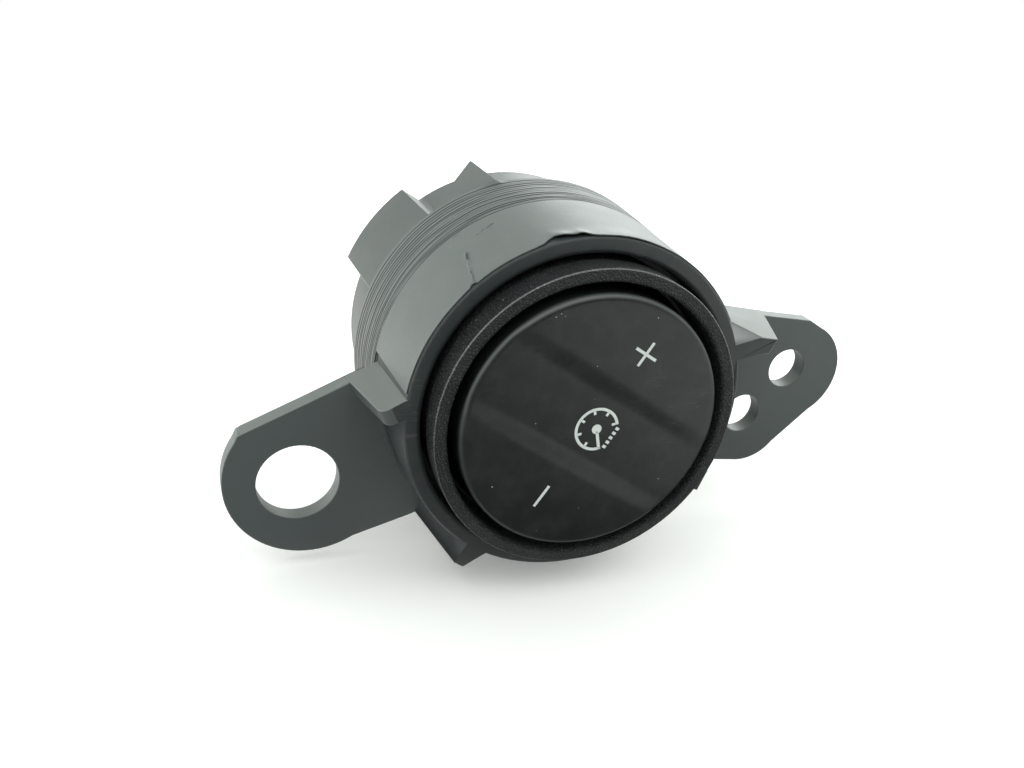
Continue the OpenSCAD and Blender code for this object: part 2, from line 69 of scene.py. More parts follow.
# %% [markdown]
# ## Camera
# The photograph looks down at the switch from 24 degrees above and 21 degrees
# to the left of the drum's axis, from close by, and a little rolled. A camera
# could be aimed with a Track To constraint, but a fitted view has a roll, so
# its three axes are written straight into the camera's matrix.

# %% Set the camera
CAMERA_AT = (-0.04671, -0.09651, 0.05075)
CAMERA_RIGHT = (0.94071, -0.32932, 0.08143)
CAMERA_UP = (0.06575, 0.41246, 0.90860)
CAMERA_BACK = (-0.33281, -0.84937, 0.40965)
bpy.ops.object.camera_add()
camera = bpy.context.object
camera.name = "camera"
columns = (CAMERA_RIGHT, CAMERA_UP, CAMERA_BACK, CAMERA_AT)
camera.matrix_world = Matrix([[column[i] for column in columns] for i in range(3)] + [[0, 0, 0, 1]])
camera.data.sensor_width = 36
camera.data.lens = 35.16
camera.data.clip_start = 0.005
camera.data.dof.use_dof = False
bpy.context.scene.camera = camera
print("camera looks from", CAMERA_AT, "with a", camera.data.lens, "mm lens")

# %% [markdown]
# ## Small helpers for shader trees
# Every material is a tree of nodes. A few short helpers keep the recipes
# readable. They add a node with its settings, join or fill a socket, do a step
# of arithmetic, start a group, and make a colour from the plain 0-255 values
# that a colour picker gives.

# %% Helpers for node trees
def fill(node, **values):
    """Sets sockets by their names, which have _ for each space."""
    for key, value in values.items():
        node.inputs[key.replace("_", " ")].default_value = value


def add_node(tree, kind, settings=None, **values):
    """Adds one shader node. Settings are the node's own, values fill its sockets."""
    node = tree.nodes.new("ShaderNode" + kind)
    for key, value in (settings or {}).items():
        setattr(node, key, value)
    fill(node, **values)
    return node


def join(tree, source, target):
    tree.links.new(source, target)


def feed(tree, value, socket):
    """Sets a socket's plain value, or joins another socket to it."""
    if isinstance(value, (int, float, tuple)):
        socket.default_value = value
    else:
        join(tree, value, socket)


def colour(red, green, blue):
    """A colour-picker value as the linear colour that Blender works in."""
    def linear(c):
        c /= 255
        return c / 12.92 if c <= 0.04045 else ((c + 0.055) / 1.055) ** 2.4
    return (linear(red), linear(green), linear(blue), 1)


def arithmetic(tree, operation, a, b=None, clamp=False):
    """One Math node. a and b are sockets or numbers."""
    node = add_node(tree, "Math", {"operation": operation, "use_clamp": clamp})
    feed(tree, a, node.inputs[0])
    if b is not None:
        feed(tree, b, node.inputs[1])
    return node.outputs[0]


def product(tree, value, *factors):
    """A value times each of the factors."""
    for factor in factors:
        value = arithmetic(tree, "MULTIPLY", value, factor)
    return value


def scaled(tree, value, factor, offset, clamp=False):
    """A value times a factor, plus an offset."""
    return arithmetic(tree, "ADD", product(tree, value, factor), offset, clamp)


def start_group(name, inputs, outputs):
    """An empty node group with named number and vector sockets, and its two ends."""
    group = bpy.data.node_groups.new(name, "ShaderNodeTree")
    for socket_name, kind, value in inputs:
        socket = group.interface.new_socket(socket_name, in_out="INPUT", socket_type=kind)
        if value is not None:
            socket.default_value = value
    for socket_name, kind in outputs:
        group.interface.new_socket(socket_name, in_out="OUTPUT", socket_type=kind)
    return group, group.nodes.new("NodeGroupInput"), group.nodes.new("NodeGroupOutput")


NUMBER, VECTOR = "NodeSocketFloat", "NodeSocketVector"
print("white paint is", [round(c, 3) for c in colour(240, 240, 238)])

# %% [markdown]
# ## Finish groups: moulded grain, settled dust, hairline scratches
# Black moulded plastic is never one flat colour. The mould leaves a fine grain,
# handling leaves hairlines, and dust settles on it. Each of these effects is
# used by several materials, so each is a node group that is built once. The
# groups read Object coordinates, so a pattern stays on its piece.

# %% Group: moulded grain
BEND = 0.16 * MM      # how far the wrinkles are bent by the fine noise
grain, g_in, g_out = start_group(
    "moulded grain",
    [("Vector", VECTOR, None), ("Scale", NUMBER, 4000.0), ("Wrinkles", NUMBER, 0.0)],
    [("Height", NUMBER), ("Mottle", NUMBER), ("Ridges", NUMBER)])
fine = add_node(grain, "TexNoise", Detail=4.0, Roughness=0.62)
cells = add_node(grain, "TexVoronoi", {"feature": "SMOOTH_F1"}, Smoothness=0.7)
broad = add_node(grain, "TexNoise", Detail=3.0, Roughness=0.55, Scale=190.0)
for texture in (fine, cells, broad):
    join(grain, g_in.outputs["Vector"], texture.inputs["Vector"])
join(grain, g_in.outputs["Scale"], fine.inputs["Scale"])
join(grain, product(grain, g_in.outputs["Scale"], 0.55), cells.inputs["Scale"])
bumps = scaled(grain, cells.outputs["Distance"], 0.8, fine.outputs["Fac"])
# wrinkles are the creases between the cells of a second, bent pattern: a ridge
# has the value 1, and a crease 0
bent = add_node(grain, "VectorMath", {"operation": "MULTIPLY_ADD"})
join(grain, fine.outputs["Color"], bent.inputs[0])
bent.inputs[1].default_value = (BEND, BEND, BEND)
join(grain, g_in.outputs["Vector"], bent.inputs[2])
creased = add_node(grain, "TexVoronoi", {"feature": "DISTANCE_TO_EDGE"})
join(grain, bent.outputs["Vector"], creased.inputs["Vector"])
join(grain, g_in.outputs["Scale"], creased.inputs["Scale"])
crease = arithmetic(grain, "MULTIPLY", creased.outputs["Distance"], 4.0, clamp=True)
crease = product(grain, crease, g_in.outputs["Wrinkles"])
join(grain, arithmetic(grain, "ADD", bumps, crease), g_out.inputs["Height"])
# the square of it leaves a wider line of painted shade in each crease
join(grain, arithmetic(grain, "POWER", crease, 2.0), g_out.inputs["Ridges"])
join(grain, broad.outputs["Fac"], g_out.inputs["Mottle"])
print("group:", grain.name, "with", len(grain.nodes), "nodes")

# %% Group: settled dust
dust, d_in, d_out = start_group(
    "settled dust",
    [("Vector", VECTOR, None), ("Spread", NUMBER, 700.0), ("Amount", NUMBER, 0.3)],
    [("Specks", NUMBER), ("Haze", NUMBER)])
points = add_node(dust, "TexVoronoi", Randomness=1.0)
join(dust, d_in.outputs["Vector"], points.inputs["Vector"])
join(dust, d_in.outputs["Spread"], points.inputs["Scale"])
one_of_many = add_node(dust, "SeparateColor")
join(dust, points.outputs["Color"], one_of_many.inputs["Color"])
# only the cells whose random value is high keep a speck, and its size varies
chosen = arithmetic(dust, "SUBTRACT", one_of_many.outputs["Red"],
                    arithmetic(dust, "SUBTRACT", 1.0, d_in.outputs["Amount"]), clamp=True)
inside = arithmetic(dust, "SUBTRACT", product(dust, chosen, 0.22), points.outputs["Distance"])
join(dust, arithmetic(dust, "MULTIPLY", inside, 22.0, clamp=True), d_out.inputs["Specks"])
film_noise = add_node(dust, "TexNoise", Scale=260.0, Detail=6.0, Roughness=0.7)
join(dust, d_in.outputs["Vector"], film_noise.inputs["Vector"])
haze = arithmetic(dust, "SUBTRACT", film_noise.outputs["Fac"], 0.42, clamp=True)
join(dust, arithmetic(dust, "MULTIPLY", haze, 2.2, clamp=True), d_out.inputs["Haze"])
print("group:", dust.name, "with", len(dust.nodes), "nodes")

# %% Group: hairline scratches
hairlines, h_in, h_out = start_group(
    "hairline scratches",
    [("Vector", VECTOR, None), ("Lean", VECTOR, (0.0, 0.0, 0.0)), ("Amount", NUMBER, 0.3)],
    [("Lines", NUMBER)])
lean = add_node(hairlines, "Mapping", Scale=(60.0, 900.0, 900.0))
join(hairlines, h_in.outputs["Vector"], lean.inputs["Vector"])
join(hairlines, h_in.outputs["Lean"], lean.inputs["Rotation"])
streaks = add_node(hairlines, "TexNoise", Scale=1.0, Detail=2.0, Roughness=0.6)
patches = add_node(hairlines, "TexNoise", Scale=120.0, Detail=2.0)
join(hairlines, lean.outputs["Vector"], streaks.inputs["Vector"])
join(hairlines, h_in.outputs["Vector"], patches.inputs["Vector"])
off_middle = arithmetic(hairlines, "SUBTRACT", streaks.outputs["Fac"], 0.5)
thin = scaled(hairlines, arithmetic(hairlines, "ABSOLUTE", off_middle), -90.0, 1.0, clamp=True)
where = arithmetic(hairlines, "SUBTRACT", patches.outputs["Fac"], 0.5, clamp=True)
where = arithmetic(hairlines, "MULTIPLY", where, 6.0, clamp=True)
join(hairlines, product(hairlines, thin, where, h_in.outputs["Amount"]), h_out.inputs["Lines"])
print("group:", hairlines.name, "with", len(hairlines.nodes), "nodes")

# %% [markdown]
# ## Finishes
# All the hard plastics share one recipe with their own values: a body colour
# that wanders between two near tones, grain as a bump, dust that lightens and
# dulls it, and hairlines. A single flat Principled shader would be quicker, but
# it looks like paint on glass.

# %% Recipes: moulded plastic and bare metal
# colours for worn edges with painted highlights on the round rims, the duller ears, and dust with painted
# light from above
WORN_AND_HIGHLIT, DULLED, DUST_AND_TOP_LIGHT = colour(128, 132, 130), colour(73, 79, 79), colour(103, 108, 104)
# tape colours: rubs and painted highlights, and painted shade in its steps and creases; painted shade in
# the grain's creases
RUBBED_AND_HIGHLIT, TAPE_SHADE, GRAIN_CREASE_SHADE = colour(120, 125, 122), colour(8, 9, 9), colour(9, 11, 11)
SPECK, METAL_SPECK = colour(150, 152, 146), colour(120, 116, 108)
MOTTLE_ROUGHENS, SPECK_ROUGHENS = 0.16, 0.3
SCRATCH_PALE, SCRATCH_DEPTH = 0.5, 0.6
finish = {}


def start_material(name):
    material = bpy.data.materials.new(name)
    material.use_nodes = True
    tree = material.node_tree
    shader = tree.nodes["Principled BSDF"]
    place = add_node(tree, "TexCoord").outputs["Object"]
    return material, tree, shader, place


def use_group(tree, group, place, **values):
    node = add_node(tree, "Group", {"node_tree": group}, **values)
    join(tree, place, node.inputs["Vector"])
    return node


def mix_colour(tree, amount, a, b):
    """Mixes two colours, each a colour or a socket, by a mask."""
    node = add_node(tree, "Mix", {"data_type": "RGBA"})
    for value, socket in ((amount, 0), (a, 6), (b, 7)):
        feed(tree, value, node.inputs[socket])
    return node.outputs[2]


def plastic(name, dark, light, roughness, grain_scale=4200.0, grain_depth=0.012, wrinkles=0.0,
            specks=0.16, haze=0.05, scratches=0.2, lean=(0.3, 0.2, 0.5), masks=(), specular=0.5):
    """Moulded plastic. masks are pairs of an attribute's name and the colour it brings."""
    material, tree, shader, place = start_material(name)
    surface = use_group(tree, grain, place, Scale=grain_scale, Wrinkles=wrinkles)
    settled = use_group(tree, dust, place, Amount=specks)
    lines = use_group(tree, hairlines, place, Lean=lean, Amount=scratches).outputs["Lines"]
    body = mix_colour(tree, surface.outputs["Mottle"], colour(*dark), colour(*light))
    # the creases of the wrinkles get painted shade
    if wrinkles:
        body = mix_colour(tree, surface.outputs["Ridges"], GRAIN_CREASE_SHADE, body)
    body = mix_colour(tree, product(tree, settled.outputs["Haze"], haze), body, SPECK)
    body = mix_colour(tree, settled.outputs["Specks"], body, SPECK)
    body = mix_colour(tree, product(tree, lines, SCRATCH_PALE), body, SPECK)
    for attribute, tint in masks:
        mask = add_node(tree, "Attribute", {"attribute_name": attribute})
        body = mix_colour(tree, mask.outputs["Fac"], body, tint)
    join(tree, body, shader.inputs["Base Color"])
    rough = scaled(tree, surface.outputs["Mottle"], MOTTLE_ROUGHENS, roughness - MOTTLE_ROUGHENS / 2)
    rough = scaled(tree, settled.outputs["Specks"], SPECK_ROUGHENS, rough, clamp=True)
    join(tree, rough, shader.inputs["Roughness"])
    fill(shader, Specular_IOR_Level=specular)
    bump = add_node(tree, "Bump", Strength=1.0, Distance=grain_depth * MM)
    join(tree, scaled(tree, lines, -SCRATCH_DEPTH, surface.outputs["Height"]), bump.inputs["Height"])
    join(tree, bump.outputs["Normal"], shader.inputs["Normal"])
    finish[name] = material


def metal(name, tint, roughness):
    """Bare metal with a faint uneven polish."""
    material, tree, shader, place = start_material(name)
    surface = use_group(tree, grain, place, Scale=2500.0)
    settled = use_group(tree, dust, place, Amount=0.1)
    bright = colour(*tint)
    body = mix_colour(tree, surface.outputs["Mottle"], bright, tuple(c * 0.82 for c in bright[:3]) + (1,))
    body = mix_colour(tree, settled.outputs["Specks"], body, METAL_SPECK)
    join(tree, body, shader.inputs["Base Color"])
    fill(shader, Metallic=1.0)
    join(tree, scaled(tree, surface.outputs["Height"], 0.12, roughness), shader.inputs["Roughness"])
    finish[name] = material


print("recipes ready: plastic, metal")

# %% Mix the black plastics
# the ears' and ribs' upward faces are lighter: dust, and painted light from above
plastic("black_moulding", (38, 43, 44), (48, 53, 54), 0.50, grain_scale=5200.0, grain_depth=0.008,
        specks=0.14, scratches=0.25, masks=[("dull", DULLED), ("dusty", DUST_AND_TOP_LIGHT), ("edge", WORN_AND_HIGHLIT)])
# the rear case is black moulding painted grey: painted light, for the bright light that falls on it
plastic("rear_moulding", (74, 79, 76), (86, 91, 88), 0.50, grain_scale=3600.0, grain_depth=0.010,
        specks=0.12, haze=0.07, masks=[("edge", WORN_AND_HIGHLIT)])
plastic("ring_grain", (34, 40, 41), (48, 55, 56), 0.42, grain_scale=3000.0, grain_depth=0.18,
        wrinkles=1.0, specks=0.14, scratches=0.1, masks=[("edge", WORN_AND_HIGHLIT)])
plastic("button_black", (15, 20, 19), (20, 26, 25), 0.36, grain_scale=7000.0, grain_depth=0.005,
        specks=0.2, scratches=0.12, lean=(0.1, 0.4, 0.9), masks=[("edge", WORN_AND_HIGHLIT)], specular=0.44)
plastic("inner_black", (16, 18, 19), (24, 26, 27), 0.55, specks=0.08, haze=0.02)
plastic("stem_black", (18, 18, 19), (26, 26, 27), 0.40, specks=0.02, haze=0.0)
plastic("switch_body", (34, 34, 36), (42, 42, 44), 0.45, specks=0.02, haze=0.0)
plastic("chip_black", (30, 30, 31), (38, 38, 40), 0.62, grain_scale=9000.0, specks=0.02, haze=0.0)
print("black finishes:", sorted(finish))

# %% [markdown]
# The white and clear pieces sit behind the button, and only the white of the
# signs shows. White moulding is slightly translucent in life. A little
# subsurface would be truer, but it costs time for strokes 0.4 mm wide, so the
# recipe for plastic is used with pale colours.

# %% Mix the pale, green and metal finishes
plastic("white_moulding", (214, 215, 210), (226, 227, 222), 0.42,
        grain_depth=0.004, specks=0.03, haze=0.0, scratches=0.1)
plastic("sign_white", (196, 202, 199), (214, 219, 216), 0.5,
        grain_depth=0.004, specks=0.05, haze=0.0, scratches=0.05)
plastic("lamp_white", (222, 220, 205), (235, 233, 220), 0.35,
        grain_depth=0.003, specks=0.02, haze=0.0, scratches=0.0)
plastic("board_green", (28, 84, 50), (38, 104, 62), 0.32,
        grain_scale=2600.0, grain_depth=0.004, specks=0.05, haze=0.02, scratches=0.1)
metal("can_aluminium", (205, 207, 210), 0.32)
metal("tinned", (202, 199, 188), 0.28)
metal("spring_steel", (190, 192, 194), 0.22)
metal("screw_steel", (178, 180, 182), 0.34)

finish["clear_plastic"], tree, shader, place = start_material("clear_plastic")
fill(shader, Transmission_Weight=1.0, IOR=1.49)
settled = use_group(tree, dust, place, Amount=0.1)
tint = mix_colour(tree, settled.outputs["Haze"], colour(244, 247, 247), colour(226, 230, 228))
join(tree, tint, shader.inputs["Base Color"])
join(tree, scaled(tree, settled.outputs["Specks"], 0.4, 0.08), shader.inputs["Roughness"])
print("finishes:", len(finish))

# %% [markdown]
# ## Tape
# The tape is thin, stretched vinyl: duller than the moulding, greyer on top
# where its surface has bloomed, with darker lines where one turn ends on the
# next. The lines are steps in the mesh, and each vertex near one carries a
# value that the material darkens: painted shade in the step. A second value
# beside it makes the crest of the step paler: a painted highlight.

# %% Mix the tape finishes
# the tape's masks: painted shade in its steps and creases, and painted highlights on crests and the
# film's edge, with the film's scuffs
TAPE_MASKS = [("painted_shade", TAPE_SHADE), ("rub_and_highlight", RUBBED_AND_HIGHLIT)]
plastic("tape_film", (88, 94, 91), (97, 103, 100), 0.48, grain_scale=2400.0, grain_depth=0.010,
        specks=0.10, haze=0.10, scratches=0.3, lean=(0.0, 0.0, 1.2), masks=TAPE_MASKS)
plastic("tape_band", (80, 86, 84), (92, 98, 95), 0.50, grain_scale=2600.0,
        specks=0.10, haze=0.10, lean=(0.0, 0.0, 1.2), masks=TAPE_MASKS)
print("tape finishes: tape_film, tape_band")

# %% [markdown]
# ## Helpers for modelling
# The pieces are drawn upright in the face frame, where the signs lie on Z and
# the hinge on X, and then turned once to the stance. Turning and applying at
# the end leaves each object at the origin with its place in its mesh.

# %% Helpers for meshes
def deselect():
    bpy.ops.object.select_all(action="DESELECT")


def only(piece):
    """Makes one piece the selected and active one."""
    deselect()
    piece.select_set(True)
    bpy.context.view_layer.objects.active = piece


@contextmanager
def editing():
    """Edit mode on the active piece, with all of it selected."""
    bpy.ops.object.mode_set(mode="EDIT")
    bpy.ops.mesh.select_all(action="SELECT")
    yield
    bpy.ops.object.mode_set(mode="OBJECT")


def apply_all(piece):
    only(piece)
    for modifier in list(piece.modifiers):
        bpy.ops.object.modifier_apply(modifier=modifier.name)


def draw_line(name, points):
    """An open line of points, drawn one after another by extruding a point."""
    deselect()
    bpy.ops.mesh.primitive_plane_add(size=MM)
    piece = bpy.context.object
    piece.name = piece.data.name = name
    with editing():
        bpy.ops.mesh.merge(type="CENTER")
        at = Vector((0, 0, 0))
        for i, point in enumerate(points):
            step = Vector(point) * MM - at
            if i == 0:
                bpy.ops.transform.translate(value=step)
            else:
                bpy.ops.mesh.extrude_vertices_move(TRANSFORM_OT_translate={"value": step})
            at = Vector(point) * MM
    return piece


def on_circle(radius, angle, y=0.0):
    """A point round the drum's axis, at an angle in degrees from X towards Z."""
    a = math.radians(angle)
    return radius * math.cos(a), y, radius * math.sin(a)


def turn_profile(name, profile, steps, start=0.0, end=360.0):
    """Spins a profile of (radius, y) about the drum's axis, from X towards Z."""
    piece = draw_line(name, [on_circle(r, start, y) for r, y in profile])
    with editing():
        bpy.ops.mesh.spin(steps=steps, angle=math.radians(end - start), center=(0, 0, 0), axis=(0, 1, 0))
        bpy.ops.mesh.select_all(action="SELECT")
        bpy.ops.mesh.remove_doubles(threshold=0.002 * MM)
        bpy.ops.mesh.normals_make_consistent()
    return piece


def push_points(piece, rule):
    """Moves every vertex by a rule from (x, y, z) to (x, y, z), in millimetres."""
    for vertex in piece.data.vertices:
        vertex.co = Vector(rule(*(vertex.co / MM))) * MM
    piece.data.update()


def complete(piece, body, slot, material=None, replaced=(), smooth=40):
    """Turns a piece to the stance, gives it its finish, and sets it on its body."""
    only(piece)
    piece.rotation_euler = (0, STANCE, 0)
    bpy.ops.object.transform_apply()
    bpy.ops.object.shade_smooth_by_angle(angle=math.radians(smooth))
    piece.data.materials.clear()
    piece.data.materials.append(finish[material or slot])
    if replaced:
        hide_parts(*replaced)
    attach(piece, body)
    print(f"{piece.name}: {len(piece.data.vertices)} points, {len(piece.data.polygons)} faces")


def smoothstep(t):
    """Rises softly from 0 to 1 while t does."""
    t = min(max(t, 0.0), 1.0)
    return t * t * (3 - 2 * t)


def hill(value, top, width):
    """1 where the value is at the top, and falling softly to 0 on both sides."""
    return math.exp(-((value - top) / width) ** 2)


def wander(a, seed, scale=1.0):
    """Smooth noise round a circle, from -1 to 1, that meets itself after 360 degrees."""
    b = math.radians(a)
    return noise.noise(Vector((math.cos(b) * scale, math.sin(b) * scale, seed * 7.31)))


print("helpers ready; the stance is", round(math.degrees(STANCE), 1), "degrees")

# %% [markdown]
# ## Soft edges on the mouldings
# No moulded edge is a knife edge: it is rounded by a tenth or two of a
# millimetre, and that round catches the light as the thin bright lines in the
# photograph. The CAD solids have sharp edges, so a copy of each big moulding
# is merged, its flat faces are joined up, and a Bevel modifier rounds its
# sharp outward edges. Each of these is marked by a weight, because a bevel that
# takes every edge also takes the ones that are already round in the CAD. A
# Weighted Normal modifier keeps the big flat faces flat to the light. Each face
# also stores how worn, dull or dusty it is, and the finish reads these values.
# The copy then stands for the CAD node.

# %% Copy a CAD node and soften its edges
SHARP = math.radians(28)
EAR_FROM, EAR_FADE = 21.6, 0.6      # where the ears and ribs leave the barrel
EAR_EDGE_FROM, EAR_EDGE_TO = 21.2, 22.3


def face_value(piece, name, rule):
    """Stores a number on each face, by a rule from the face to the number."""
    values = piece.data.attributes.new(name, "FLOAT", "FACE")
    values.data.foreach_set("value", [rule(face) for face in piece.data.polygons])


def mark_sharp_edges(piece, where):
    """Gives the sharp outward edges a bevel weight, where the rule says so."""
    mesh = bmesh.new()
    mesh.from_mesh(piece.data)
    weight = mesh.edges.layers.float.new("bevel_weight_edge")
    marked = 0
    for edge in mesh.edges:
        if len(edge.link_faces) != 2 or edge.calc_face_angle_signed() < SHARP:
            continue
        if where(*(vertex.co / MM for vertex in edge.verts)):
            edge[weight] = 1.0
            marked += 1
    mesh.to_mesh(piece.data)
    mesh.free()
    return marked


def soften(node, name, width, body, slot, where, extra=()):
    """Puts a copy with rounded edges in a CAD node's place.

    where says which edges are rounded. extra holds pairs of a further value's
    name and its rule for a face.
    """
    source = nodes[node]
    piece = source.copy()
    piece.data = source.data.copy()
    for key in list(piece.keys()):
        del piece[key]
    piece.parent = None
    piece.name = piece.data.name = name
    bpy.context.scene.collection.objects.link(piece)
    only(piece)
    with editing():
        bpy.ops.mesh.remove_doubles(threshold=0.01 * MM)
        bpy.ops.mesh.dissolve_limited(angle_limit=math.radians(0.8))
    marked = mark_sharp_edges(piece, where)
    bevel = piece.modifiers.new("round edges", "BEVEL")
    bevel.width = width * MM
    bevel.segments = 2
    bevel.limit_method = "WEIGHT"
    bevel.use_clamp_overlap = False
    bevel.material = 1
    piece.data.materials.clear()
    piece.data.materials.append(None)
    piece.data.materials.append(None)
    apply_all(piece)
    face_value(piece, "edge", edge_wear)
    for value, rule in extra:
        face_value(piece, value, rule)
    bpy.ops.object.shade_smooth_by_angle(angle=math.radians(42))
    weighted = piece.modifiers.new("flat faces stay flat", "WEIGHTED_NORMAL")
    weighted.keep_sharp = True
    apply_all(piece)
    piece.data.materials.clear()
    piece.data.materials.append(finish[slot])
    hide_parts(node)
    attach(piece, body)
    print(f"{name}: {marked} edges rounded by {width} mm, {len(piece.data.polygons)} faces")


def edge_wear(face):
    """The rounded edges, which the bevel gave material 1, are worn in patches."""
    patch = noise.noise(face.center * 130.0)
    return min(max(0.34 + 0.9 * patch, 0.0), 0.9) if face.material_index == 1 else 0.0


def off_the_barrel(a, b):
    """True for the edges of ears and ribs, which stand out from the barrel."""
    near, far = sorted((math.hypot(a.x, a.z), math.hypot(b.x, b.z)))
    return near > EAR_EDGE_FROM and far > EAR_EDGE_TO


def anywhere(a, b):
    return True


def ear_dullness(face):
    """The ears and ribs have a duller, greyer face than the barrel's polished rim."""
    x, y, z = face.center / MM
    return smoothstep((math.hypot(x, z) - EAR_FROM) / EAR_FADE)


def rib_dust_and_top_light(face):
    """Dust, and painted light from above, on the ribs and ears where they face upwards."""
    return 0.9 * smoothstep((face.normal.z - 0.25) / 0.35) * ear_dullness(face)


soften("housing", "housing_moulding", 0.13, "case", "black_moulding", off_the_barrel,
       extra=(("dull", ear_dullness), ("dusty", rib_dust_and_top_light)))
soften("rear_case", "rear_case_moulding", 0.16, "case", "rear_moulding", anywhere)

# %% [markdown]
# ## Bezel ring
# The ring round the button is moulded, with a narrow face with a leather grain,
# a rounded inner edge and a bright thin line along its outer front edge, which
# is worn pale and carries a painted highlight. It is a round body, so its profile
# is drawn once and spun. The grain is fine enough to be a bump with painted shade
# in its valleys, but the outer edge gets its own real round.

# %% Spin the bezel ring
RING_IN, RING_OUT, RING_FRONT, RING_BACK = 17.14, 18.74, -3.3, 2.6
INNER_ROUND, OUTER_ROUND, OUTER_STEP = 0.45, 0.15, 0.06
SHANK = RING_OUT - 0.3
LIT_SIDE = 112      # degrees: the side of the round rims where the painted highlight is brightest


def arc_points(cx, cy, radius, start, end, steps):
    """Points on a rounding in (radius, y), from one angle to another."""
    angles = [math.radians(start + (end - start) * i / steps) for i in range(steps + 1)]
    return [(cx + radius * math.cos(a), cy + radius * math.sin(a)) for a in angles]


ring_profile = (
    [(RING_IN, RING_BACK)]
    + arc_points(RING_IN + INNER_ROUND, RING_FRONT + INNER_ROUND, INNER_ROUND, 180, 270, 8)
    + arc_points(RING_OUT - OUTER_ROUND, RING_FRONT + OUTER_ROUND + OUTER_STEP, OUTER_ROUND, 265, 360, 6)
    + [(RING_OUT, 0.0), (SHANK, 0.05), (SHANK, RING_BACK), (RING_IN, RING_BACK)])
ring = turn_profile("bezel_ring_grained", ring_profile, 240)


def lit_share(x, z):
    """1 where a rim's painted highlight is brightest, down to -1 on the opposite side."""
    return math.cos(math.atan2(z, x) - math.radians(LIT_SIDE))


def ring_edge(face):
    """The outer front edge is worn pale, with a painted highlight that is strongest on the lit side and
    faint low on its right.
    """
    x, y, z = face.center / MM
    on_round = math.hypot(x, z) > RING_OUT - 0.13 and RING_FRONT - 0.1 < y < RING_FRONT + 0.19
    return 0.95 - 0.75 * smoothstep(0.5 - 0.9 * lit_share(x, z)) if on_round else 0.0


face_value(ring, "edge", ring_edge)
complete(ring, "case", "ring_grain", replaced=("bezel_ring",))

# %% [markdown]
# ## Button
# The button is one moulded cap: dished, with two soft flanks that make a valley
# for the finger, and a rounded edge that follows them. A flat disc with a
# texture would not bend the reflections, so the face is real shape. A profile
# is spun into a closed cap with a wall, and then every point of the face is
# moved back by the same rule as in the CAD source.

# %% Spin the button and press the finger valley into it
BUTTON_R, BUTTON_EDGE, CAP_FRONT, SKIRT, CAP_WALL = 16.0, 0.8, -4.25, 3.0, 1.9
DISH, VALLEY_DEPTH, VALLEY_HALF, VALLEY_FLANK = 0.30, 0.62, 4.9, 2.6
FLAT_R = BUTTON_R - BUTTON_EDGE
HOLLOW_R, HOLLOW_FRONT, TINY = BUTTON_R - 1.6, CAP_FRONT + CAP_WALL, 0.001


def face_depth(x, z):
    """How far the face lies behind its front plane, in millimetres."""
    q = (x * x + z * z) / BUTTON_R ** 2
    valley = 1 - smoothstep((abs(z) - VALLEY_HALF + VALLEY_FLANK / 2) / VALLEY_FLANK)
    fade = 1 - 0.72 * (abs(x) / BUTTON_R) ** 2.4
    return DISH * q * q + VALLEY_DEPTH * valley * fade


def press_face(x, y, z):
    """Takes a point of the plain spun cap to its place on the dished one."""
    r = math.hypot(x, z)
    behind_edge = y > CAP_FRONT + BUTTON_EDGE + TINY or r > BUTTON_R + TINY
    if behind_edge or (y > CAP_FRONT + 10 * TINY and r < FLAT_R - TINY):
        return x, y, z
    if r <= FLAT_R:
        return x, y + face_depth(x, z), z
    b = math.asin(min(1.0, (r - FLAT_R) / BUTTON_EDGE))
    edge = face_depth(x / r * FLAT_R, z / r * FLAT_R)
    return x, y + edge * math.cos(b) + DISH * (1 - math.cos(b)), z


cap_profile = (
    [(FLAT_R * i / 60 + TINY / 10, CAP_FRONT) for i in range(60)]
    + arc_points(FLAT_R, CAP_FRONT + BUTTON_EDGE, BUTTON_EDGE, -90, 0, 10)
    + [(BUTTON_R - 0.12, SKIRT), (BUTTON_R - 0.35, SKIRT), (HOLLOW_R, SKIRT), (HOLLOW_R, HOLLOW_FRONT),
       (BUTTON_R / 2, HOLLOW_FRONT), (TINY / 10, HOLLOW_FRONT)])
button = turn_profile("button_cap", cap_profile, 288)
push_points(button, press_face)


def button_edge(face):
    """A faint rubbed line on the crest of the button's rounded edge, with a painted highlight towards the
    lit side.
    """
    x, y, z = face.center / MM
    if y > CAP_FRONT + BUTTON_EDGE + 0.4:
        return 0.0
    crest = hill(math.hypot(x, z), FLAT_R + 0.62, 0.16)
    return (0.10 + 0.30 * smoothstep(0.4 + 0.7 * lit_share(x, z))) * crest


face_value(button, "edge", button_edge)
complete(button, "rocker", "button_black", replaced=("rocker_cap",), smooth=50)

# %% [markdown]
# ## The button's signs
# Plus, minus and the gauge symbol are cut through the black paint, so white
# shows, flush with the face. They could be painted in a texture, but a mesh of
# a few strokes stays sharp from close by. Each stroke is a flat patch that is
# cut finely, laid on the face by the face's own rule, and given a little depth.

# %% Lay a flat sign on the face
SIGN_PROUD, SIGN_DEPTH, STROKE = 0.012, 0.05, 0.36


def flat_patch(x, z, width, height, cuts, turn=0.0):
    """A flat oblong stroke in the face's plane, centred at (x, z)."""
    deselect()
    bpy.ops.mesh.primitive_plane_add(size=1, location=(x * MM, 0, z * MM))
    patch = bpy.context.object
    patch.scale = (width * MM, height * MM, 1)
    patch.rotation_euler = (math.radians(90), math.radians(-turn), 0)
    bpy.ops.object.transform_apply()
    with editing():
        bpy.ops.mesh.subdivide(number_cuts=cuts)
    return patch


